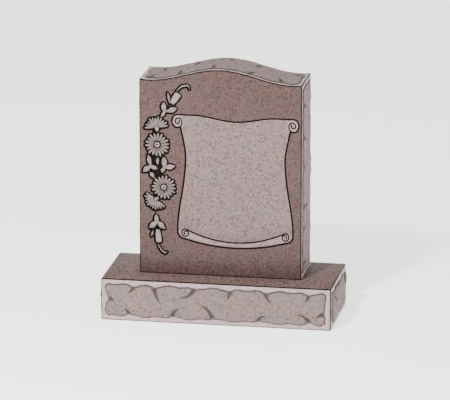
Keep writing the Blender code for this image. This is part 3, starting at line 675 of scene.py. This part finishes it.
class Rock:
    """The rough stone that stands out inside a flat margin: its outline, its creases and how far
    it stands out at each point. Sizes are along the face and up it. A notch is its place on the
    edge, the lean of its crease and the crease's length."""

    def __init__(self, width, height, style, seed, notches=None):
        self.width, self.height, self.seed = width, height, seed
        margin, self.projection, self.shoulder, self.crease_shade_width = style
        chance = random.Random(seed)
        notches = notches or self.scattered(chance)
        self.frame, self.normals = rounded_frame(width, height, margin)
        run = self.frame - np.roll(self.frame, 1, axis=0)
        travelled = np.cumsum(np.hypot(run[:, 0], run[:, 1]))
        self.inset = ROCK_WAVER * np.sin(FULL_TURN * travelled / ROCK_WAVER_LENGTH + seed)
        self.inset += ROCK_RIPPLE * np.sin(FULL_TURN * travelled / ROCK_RIPPLE_LENGTH)
        starts = []
        for place, _, _ in notches:
            start = int(np.argmin(np.hypot(*(self.frame - place).T)))
            gap = np.abs(travelled - travelled[start])
            gap = np.minimum(gap, travelled[-1] - gap)
            self.inset += NOTCH_INSET * np.exp(-gap / NOTCH_SPREAD)
            starts.append(start)
        self.outline = self.ring(0)
        self.creases = [self.crease(start, lean, reach) for start, (_, lean, reach) in zip(starts, notches)]
        self.waves = [(chance.uniform(0.6, 1.4) * FULL_TURN / ROCK_LUMP_LENGTH,
                       chance.uniform(0, FULL_TURN), chance.uniform(0, FULL_TURN)) for _ in range(3)]

    def scattered(self, chance):
        """Notches a pace apart along both long edges, staggered."""
        found = []
        long_side, short_side = max(self.width, self.height), min(self.width, self.height)
        count = max(round(long_side / NOTCH_SPACING), 2)
        for edge in (0, 1):
            for i in range(count):
                moved = NOTCH_START + NOTCH_STAGGER * edge + chance.uniform(-NOTCH_JITTER, NOTCH_JITTER)
                along = long_side * (i + moved) / count
                place = (along, edge * short_side)
                if self.height > self.width:
                    place = place[::-1]
                found.append((place, chance.uniform(-MOST_LEAN, MOST_LEAN),
                              chance.uniform(*CREASE_REACH) * short_side))
        return found

    def ring(self, moved_in):
        """The outline, moved further in."""
        return self.frame - self.normals * (self.inset + moved_in)[:, None]

    def crease(self, start, lean, reach):
        """A crease that runs in from a notch, bends and fades out."""
        heading = math.atan2(-self.normals[start][1], -self.normals[start][0])
        bend = polar(self.outline[start], 0.55 * reach, heading + 0.7 * lean)
        end = polar(bend, 0.65 * reach, heading + 1.2 * lean)
        return smooth_curve([self.outline[start], bend, end], 7)

    def stands_out(self, points):
        """How far the stone stands out at each point, and how much painted shade it gets along the
        outline and in the creases.
        """
        inward = depth_inside(points, self.outline)
        depth = unit(inward / self.shoulder)
        swell = np.ones(len(points))
        for pace, phase_x, phase_y in self.waves:
            across = np.sin(pace * points[:, 0] + phase_x)
            swell += ROCK_LUMP_SHARE * across * np.cos(pace * points[:, 1] + phase_y)
        lift = np.sqrt(depth * (2 - depth)) * swell
        # Painted shade in a band along the rock's outline
        rock_painted_shade = unit(1.4 * (1 - np.abs(inward) / OUTLINE_SHADE_WIDTH))
        for line in self.creases:
            away = distance_to(points, line)
            along = np.hypot(*(points - line[0]).T) / np.hypot(*(line[-1] - line[0]))
            strength = unit(1 - along)
            reach = self.shoulder * (0.2 + 0.5 * strength)
            beside = unit(1 - away / reach)
            lift *= 1 - CREASE_DEPTH_SHARE * strength * beside
            # Painted shade down each crease, widest and darkest at its notch
            dark = unit(1.5 * (1 - away / (self.crease_shade_width * (0.2 + 1.3 * strength**1.5))))
            rock_painted_shade = np.maximum(rock_painted_shade, dark * unit(2.5 * (1.1 - along)))
        height = self.projection * lift
        inner = inward > 0
        chips = np.zeros(len(points))
        chips[inner] = chipped(points[inner], self.seed) * unit(inward[inner] / CHIPS_FADE_IN)
        height = np.maximum(height - chips, LOWEST_ROCK_SHARE * height)
        return self.projection * height / height.max(), rock_painted_shade

    def lines(self):
        """The edges that the rock's facets follow."""
        moves = (-OUTLINE_SHADE_WIDTH, -OUTLINE_SHADE_WIDTH / 2, 0, 0.04 * self.shoulder, 0.12 * self.shoulder)
        rings = [(self.ring(moved), True, None) for moved in moves]
        return rings + [(line, False, None) for line in self.creases]


# Building the stones

def patch(bm, loop, lines, loose, lift, kinds):
    """Adds one side of a stone: facets inside the loop that follow the lines, lifted into place.
    A line is its points, whether it closes, and which of its points to keep. Lift gives places
    and painted light and shade, and kinds gives the surface of each facet from its middle."""
    places = [Vector(p) for p in loop]
    edges = []
    for points, closed, keep in lines:
        index = {}
        for i, point in enumerate(points):
            if keep is None or keep[i]:
                index[i] = len(places)
                places.append(Vector(point))
        count = len(points)
        for i in range(count if closed else count - 1):
            following = (i + 1) % count
            if i in index and following in index:
                edges.append((index[i], index[following]))
    places += [Vector(p) for p in loose]
    flat, _, facets, *_ = delaunay_2d_cdt(places, edges, [list(range(len(loop)))], 1, CLOSEST_POINTS)
    flat = np.array([tuple(p) for p in flat])
    lifted, painted_lights = lift(flat)
    painted_light_layer = bm.verts.layers.float["painted_light"]
    made = []
    for place, painted_light in zip(lifted, painted_lights):
        corner = bm.verts.new(place)
        corner[painted_light_layer] = painted_light
        made.append(corner)
    middles = np.array([flat[list(facet)].mean(axis=0) for facet in facets])
    for facet, kind in zip(facets, kinds(middles)):
        face = bm.faces.new([made[i] for i in facet])
        face.material_index = int(kind)


def rock_patch(bm, rock, lift, loop=None):
    """One side with a flat margin and rough stone, a rectangle unless a loop is given. The lift
    places what is u along the side, v up it and h out of it."""
    loose = grid(rock.width, rock.height, ROCK_POINT_SPACING)
    loose = loose[depth_inside(loose, rock.outline) > POINTS_START_SHARE * rock.shoulder]

    def placed(points):
        height, rock_painted_shade = rock.stands_out(points)
        return np.column_stack(lift(points[:, 0], points[:, 1], height)), rock_painted_shade

    patch(bm, loop or corners(0, 0, rock.width, rock.height), rock.lines(), loose, placed,
          lambda p: np.where(inside(p, rock.outline), slot_of("rock"), slot_of("margin")))


def flat_patch(bm, loop, lift, surface):
    """One plain flat side."""
    patch(bm, loop, [], [], lambda p: (lift(p), np.zeros(len(p))), lambda p: [slot_of(surface)] * len(p))


def add_thing(name, data):
    """A new object in the scene."""
    thing = bpy.data.objects.new(name, data)
    bpy.context.scene.collection.objects.link(thing)
    return thing


def add_mesh(name, bm):
    """A new object from a finished mesh."""
    mesh = bpy.data.meshes.new(name)
    bm.to_mesh(mesh)
    bm.free()
    return add_thing(name, mesh)


def new_stone():
    """An empty mesh that keeps painted light and shade on each of its points."""
    bm = bmesh.new()
    bm.verts.layers.float.new("painted_light")
    return bm


def finish_stone(name, bm, materials, node):
    """Closes the patches into one stone, breaks its arrises and gives it its surfaces."""
    bmesh.ops.remove_doubles(bm, verts=bm.verts, dist=CLOSEST_POINTS / 4)
    bmesh.ops.delete(bm, geom=[v for v in bm.verts if not v.link_faces], context="VERTS")
    bmesh.ops.recalc_face_normals(bm, faces=bm.faces)
    outer = [e for e in bm.edges if len(e.link_faces) == 2 and on_arris(e)]
    # The bevelled arrises take the near-black granite: painted shade and dark reflection
    bmesh.ops.bevel(bm, geom=outer, offset=ARRIS, offset_type="OFFSET", segments=2, profile=0.5,
                    affect="EDGES", clamp_overlap=False, material=slot_of("shaded_arris"))
    thing = add_mesh(name, bm)
    thing.data.shade_smooth()
    thing.data.set_sharp_from_angle(angle=SHARP_ANGLE)
    for surface in SURFACES:
        thing.data.materials.append(materials[surface])
    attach(thing, "root")
    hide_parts(node)


def on_arris(edge):
    """Whether an edge is one where two sides of a stone meet."""
    plain = {slot_of(s) for s in ("polished", "base_top", "margin", "underside")}
    surfaces = {face.material_index for face in edge.link_faces}
    return surfaces <= plain and edge.calc_face_angle(0) > ARRIS_ANGLE


def corners(left, low, right, high):
    """The corners of a rectangle, anticlockwise from low on the left."""
    return [(left, low), (right, low), (right, high), (left, high)]


def level_at(z):
    """A lift for a plan at that height."""
    return lambda p: np.column_stack([p, np.full(len(p), z)])


def base(materials):
    """The base: a smooth top, a sawn underside and four pitched sides."""
    bm = new_stone()
    half_length, half_depth = base_length / 2, base_depth / 2
    notches = [((along * base_length, up * base_height), lean, reach * base_height)
               for along, up, lean, reach in FRONT_NOTCH_SHARES]
    style = (BASE_MARGIN, BASE_ROCK_PROJECTION, BASE_ROCK_SHOULDER, BASE_CREASE_SHADE_WIDTH)
    long_side, short_side = (base_length, base_height, style), (base_depth, base_height, style)
    rock_patch(bm, Rock(*long_side, 1, notches), lambda u, v, h: (u - half_length, -half_depth - h, v))
    rock_patch(bm, Rock(*long_side, 2), lambda u, v, h: (half_length - u, half_depth + h, v))
    rock_patch(bm, Rock(*short_side, 3), lambda u, v, h: (half_length + h, u - half_depth, v))
    rock_patch(bm, Rock(*short_side, 4), lambda u, v, h: (-half_length - h, half_depth - u, v))
    plan = corners(-half_length, -half_depth, half_length, half_depth)
    flat_patch(bm, plan, level_at(0), "underside")
    flat_patch(bm, plan, level_at(base_height), "base_top")
    finish_stone("base_stone", bm, materials, "base")


def crest(x):
    """The serpentine top's height above the tablet's foot: a crown that dips to the shoulders."""
    return shoulder_height + CROWN_RISE * (1 + np.cos(math.pi * x / shoulder_dip_x)) / 2


def tablet_front(bm, face):
    """The carved front: the scroll panel and the spray, cut into the polished face."""
    outline, carved, roll, curls = panel_lines()
    raised, gaps = spray()

    def panel_surface(points):
        level, painted_light, depth = panel_level(points, outline, roll)
        kind = np.where(depth > 0, slot_of("frosted"), slot_of("polished"))
        # Painted highlight on the top curls
        for centre in curls:
            painted_light[np.hypot(*(points - centre).T) < TOP_CURL_RADIUS] = -CURL_HIGHLIGHT
        near = distance_to(points, outline, closed=True)
        level = np.minimum(level, -GROOVE_DEPTH * unit(1 - near / (GROOVE_WIDTH / 2)))
        kind[near < GROOVE_WIDTH / 2] = slot_of("stained")
        for line, width, depth in carved:
            near = distance_to(points, line)
            level = np.minimum(level, -PANEL_SINK - depth * (1 - near / (width / 2)))
            kind[near < width / 2] = slot_of("stained")
        return level, painted_light, kind

    def surface(points):
        level, painted_light = np.zeros((2, len(points)))
        kind = np.full(len(points), slot_of("polished"))
        on_panel = points[:, 0] > -half_width + PANEL_LEFT_MARGIN - GROOVE_WIDTH
        level[on_panel], painted_light[on_panel], kind[on_panel] = panel_surface(points[on_panel])
        carving, spray_painted_light, pocket, within = spray_level(points, raised, gaps)
        level = np.minimum(level, carving)
        painted_light = np.where(pocket > 0, spray_painted_light, painted_light)
        kind[pocket > 0] = slot_of("stained")
        kind[within > 0] = slot_of("relief")
        return level, painted_light, kind

    def placed(points):
        level, painted_light, _ = surface(points)
        return np.column_stack([points[:, 0], tablet_low.y - level, tablet_foot_z + points[:, 1]]), painted_light

    lines = [(offset_line(outline, moved, closed=True), True, None)
             for moved in (-GROOVE_WIDTH / 2, 0, GROOVE_WIDTH / 2)]
    for line, width, _ in carved:
        lines += [(offset_line(line, moved), False, None) for moved in (-width / 2, 0, width / 2)]
    lines += spray_lines(raised, gaps)
    loose = grid(panel_width, panel_height, SHEET_POINT_SPACING)
    loose += (panel_centre_x - panel_width / 2, PANEL_BOTTOM_MARGIN)
    loose = loose[depth_inside(loose, outline) > GROOVE_WIDTH]
    loose = np.vstack([loose] + [form["ribs"] for form in raised])
    patch(bm, face, lines, loose, placed, lambda points: surface(points)[2])


def tablet(materials):
    """The tablet: a carved front, a plain back, and a pitched top and sides."""
    bm = new_stone()
    top_x = np.linspace(half_width, -half_width, CREST_SEGMENTS + 1)
    face = [(-half_width, 0), (half_width, 0)] + [(x, crest(x)) for x in top_x]
    tablet_front(bm, face)
    flat_patch(bm, face, lambda p: np.column_stack(
        [p[:, 0], np.full(len(p), tablet_high.y), tablet_foot_z + p[:, 1]]), "polished")
    plan = corners(-half_width, tablet_low.y, half_width, tablet_high.y)
    flat_patch(bm, plan, level_at(tablet_foot_z), "underside")

    style = (TABLET_MARGIN, TABLET_ROCK_PROJECTION, TABLET_ROCK_SHOULDER, TABLET_CREASE_SHADE_WIDTH)
    side = (tablet_thickness, float(crest(half_width)), style)
    rock_patch(bm, Rock(*side, 5), lambda u, v, h: (half_width + h, tablet_low.y + u, tablet_foot_z + v))
    rock_patch(bm, Rock(*side, 6), lambda u, v, h: (-half_width - h, tablet_high.y - u, tablet_foot_z + v))

    def over_the_top(u, v, h):
        x = u - half_width
        slope = -CROWN_RISE * math.pi / (2 * shoulder_dip_x) * np.sin(math.pi * x / shoulder_dip_x)
        steep = np.hypot(slope, 1)
        return x - h * slope / steep, tablet_low.y + v, tablet_foot_z + crest(x) + h / steep

    front_edge = [(x + half_width, 0) for x in top_x[::-1]]
    back_edge = [(x + half_width, tablet_thickness) for x in top_x]
    rock_patch(bm, Rock(tablet_width, tablet_thickness, style, 7), over_the_top, front_edge + back_edge)
    finish_stone("tablet_stone", bm, materials, "tablet")


# The granite

class Shading:
    """The nodes of a new material or world, with short ways to add to them."""

    def __init__(self, owner, shader="Principled BSDF", place="Object"):
        self.owner = owner
        owner.use_nodes = True
        self.tree = owner.node_tree
        self.shader = self.tree.nodes[shader]
        self.place = self.node("TexCoord").outputs[place]

    def feed(self, socket, value):
        """Links an output to a socket, or sets its value."""
        if isinstance(value, bpy.types.NodeSocket):
            self.tree.links.new(value, socket)
        else:
            socket.default_value = value

    def node(self, kind, inputs=(), **settings):
        """A node of that kind, with its settings and its inputs."""
        made = self.tree.nodes.new("ShaderNode" + kind)
        for name, value in settings.items():
            setattr(made, name, value)
        for name, value in dict(inputs).items():
            self.feed(made.inputs[name], value)
        return made

    def noise(self, length, detail=2.0, roughness=0.5):
        """Smooth noise of that length, from 0 to 1."""
        inputs = {"Vector": self.place, "Scale": 1 / length, "Detail": detail, "Roughness": roughness}
        return self.node("TexNoise", inputs).outputs["Fac"]

    def grains(self, length):
        """A chance value for each grain of that length, from 0 to 1."""
        cells = self.node("TexVoronoi", {"Vector": self.place, "Scale": 1 / length})
        return self.node("SeparateColor", {"Color": cells.outputs["Color"]}).outputs["Red"]

    def span(self, value, from_low, from_high, to_low, to_high):
        """A value moved from one range to another and held inside it."""
        inputs = {"Value": value, "From Min": from_low, "From Max": from_high, "To Min": to_low,
                  "To Max": to_high}
        return self.node("MapRange", inputs).outputs["Result"]

    def steps(self, value, stops):
        """A grey value for each range of the incoming value."""
        ramp = self.node("ValToRGB", {"Fac": value})
        elements = ramp.color_ramp.elements
        while len(elements) < len(stops):
            elements.new(1)
        for element, (position, level) in zip(elements, stops):
            element.position = position
            element.color = (level, level, level, 1)
        return ramp.outputs["Color"]

    def mix(self, share, first, second, blend="MIX"):
        """Two colours mixed."""
        made = self.node("Mix", data_type="RGBA", blend_type=blend)
        self.feed(made.inputs[0], share)
        self.feed(made.inputs[6], first)
        self.feed(made.inputs[7], second)
        return made.outputs[2]

    def shade(self, name, value):
        """Feeds one of the shader's own sockets."""
        self.feed(self.shader.inputs[name], value)

    def bump(self, height, depth, strength):
        """Bumps of that depth, where the height varies."""
        made = self.node("Bump", {"Height": height, "Distance": depth, "Strength": strength})
        self.shade("Normal", made.outputs["Normal"])

    def painted_light(self):
        """The painted light and shade that the mesh keeps on its points."""
        return self.node("Attribute", attribute_name="painted_light").outputs["Fac"]


def shifted(tone, red, green, blue):
    """A tone with its three parts scaled, as a colour."""
    return (tone[0] * red, tone[1] * green, tone[2] * blue, 1)


def granite(name, tone, roughness, bump_depth, contrast):
    """Granite of that mean tone: pink and grey-brown grains with pale and dark ones among them,
    in soft clouds. Its roughness varies from grain to grain."""
    s = Shading(bpy.data.materials.new(name))
    clouds = s.span(s.noise(CLOUD, 3.0, 0.55), 0.38, 0.62, 0.0, 1.0)
    body = s.mix(clouds, shifted(tone, 1.05, 0.97, 0.97), shifted(tone, 0.96, 1.01, 0.99))
    low, high = 1 - DARKEST_GRAIN * contrast, 1 + PALEST_GRAIN * contrast
    coarse = s.steps(s.grains(GRAIN), [(0.0, low), (0.14, low), (0.20, 1 - 0.07 * contrast), (0.55, 1.0),
                                       (0.80, 1 + 0.08 * contrast), (1.0, high)])
    fine = s.steps(s.grains(FINE_GRAIN), [(0.0, low), (0.10, low), (0.16, 1 - 0.06 * contrast),
                                          (0.70, 1.04), (1.0, high)])
    colour = s.mix(1.0, s.mix(1.0, body, coarse, "MULTIPLY"), fine, "MULTIPLY")
    s.shade("Roughness", s.span(s.grains(FINE_GRAIN), 0.0, 1.0, 0.8 * roughness, 1.2 * roughness))
    if bump_depth:
        s.bump(s.noise(3 * bump_depth, 4.0, 0.6), bump_depth, 1.0)
    return s, colour


def surface_materials():
    """A granite for each surface of the stones."""
    made = {}
    # Each one's tone, roughness, bump depth and the contrast of its grains
    finishes = {
        "polished": (POLISHED_TONE, 0.27, 0, 0.75),
        "shaded_arris": (ARRIS_PAINTED_SHADE_TONE, 0.4, 0, 1.0),
        "base_top": (BASE_TOP_PAINTED_LIGHT_TONE, 0.42, 0, 1.3),
        "underside": (ROCK_TONE, 0.85, 0.0006, 0.8),
        "margin": (MARGIN_TONE, 0.75, 0.0003, 0.5),
        "frosted": (FROSTED_TONE, 0.80, 0.0005, 1.0),
        "relief": (RELIEF_TONE, 0.75, 0.0003, 0.5),
        "rock": (ROCK_TONE, 0.85, 0.0018, 0.8),
    }
    for surface, finish in finishes.items():
        s, colour = granite(surface + "_granite", *finish)
        # Painted shade: the colour darkens where the mesh keeps painted shade
        if surface in PAINTED_SHADING:
            start, level = PAINTED_SHADING[surface]
            dark = s.mix(1.0, colour, (level * 0.95, level, level * 0.97, 1), "MULTIPLY")
            colour = s.mix(s.span(s.painted_light(), start, 1.0, 0.0, 1.0), colour, dark)
        # Painted highlight: the frosted sheet turns paler on the foot roll and the top curls
        if surface == "frosted":
            colour = s.mix(s.span(s.painted_light(), -1.0, 0.0, 1.0, 0.0), colour, (*MARGIN_TONE, 1))
        if surface in SHEEN:
            s.shade("Specular IOR Level", SHEEN[surface])
        s.shade("Base Color", colour)
        made[surface] = s.owner
    made["stained"] = stained()
    return made


def stained():
    """The dark stain in the carved lines and the spray's pocket, thinner on some grains."""
    s = Shading(bpy.data.materials.new("stained_granite"))
    worn = s.span(s.grains(FINE_GRAIN), 0.75, 1.0, 0.0, 0.25)
    thick, thin = shifted(STAIN_TONE, 0.7, 0.7, 0.7), shifted(STAIN_TONE, 1.5, 1.5, 1.5)
    patchy = s.mix(s.noise(0.006, 3.0), thick, thin)
    s.shade("Base Color", s.mix(worn, patchy, shifted(POLISHED_TONE, 0.4, 0.35, 0.35)))
    s.shade("Roughness", s.span(s.noise(0.003), 0.3, 0.7, 0.75, 0.95))
    s.shade("Specular IOR Level", 0.05)
    s.bump(s.noise(0.0012, 3.0), 0.0004, 0.7)
    return s.owner


# The studio

def aimed(name, data, aim, distance, azimuth, elevation):
    """A camera or a light that looks at the aim from that distance and angle."""
    flat = math.cos(elevation)
    back = Vector((math.sin(azimuth) * flat, -math.cos(azimuth) * flat, math.sin(elevation)))
    thing = add_thing(name, data)
    thing.location = Vector(aim) + distance * back
    thing.rotation_euler = back.to_track_quat("Z", "Y").to_euler()
    return thing


def camera():
    """The camera, at the picture's angle."""
    data = bpy.data.cameras.new("camera")
    data.sensor_width = SENSOR_WIDTH
    data.lens = LENS
    data.clip_end = 4 * CAMERA_DISTANCE
    bpy.context.scene.camera = aimed("camera", data, CAMERA_AIM, CAMERA_DISTANCE, CAMERA_AZIMUTH,
                                     CAMERA_ELEVATION)


def key_light():
    """A key light, high in front and a little to the left."""
    data = bpy.data.lights.new("key", "AREA")
    data.shape = "DISK"
    data.size = KEY_SIZE
    data.energy = KEY_POWER
    aimed("key", data, KEY_AIM, KEY_DISTANCE, KEY_AZIMUTH, KEY_ELEVATION)


def surroundings():
    """Soft white light from all round, stronger from low down and from the right."""
    s = Shading(bpy.data.worlds.new("studio"), "Background", "Generated")
    way = s.node("SeparateXYZ", {"Vector": s.place}).outputs
    by_height = s.span(way["Z"], 0, 1, *HORIZON_TO_ZENITH)
    by_side = s.span(way["X"], -1, 1, *LEFT_TO_RIGHT)
    s.shade("Color", (1, 1, 1, 1))
    s.shade("Strength", s.node("Math", {0: by_height, 1: by_side}, operation="MULTIPLY").outputs["Value"])
    bpy.context.scene.world = s.owner


def floor():
    """A plain pale floor."""
    bm = bmesh.new()
    bmesh.ops.create_grid(bm, x_segments=1, y_segments=1, size=FLOOR_SIZE / 2)
    thing = add_mesh("floor", bm)
    s = Shading(bpy.data.materials.new("floor_paint"))
    s.shade("Base Color", s.mix(s.noise(0.4), (0.88, 0.88, 0.88, 1), (0.90, 0.90, 0.90, 1)))
    s.shade("Roughness", 0.9)
    s.shade("Specular IOR Level", 0.1)
    s.shade("Emission Color", (1, 1, 1, 1))
    s.shade("Emission Strength", FLOOR_GLOW)
    thing.data.materials.append(s.owner)


def main():
    materials = surface_materials()
    base(materials)
    tablet(materials)
    floor()
    camera()
    key_light()
    surroundings()


main()
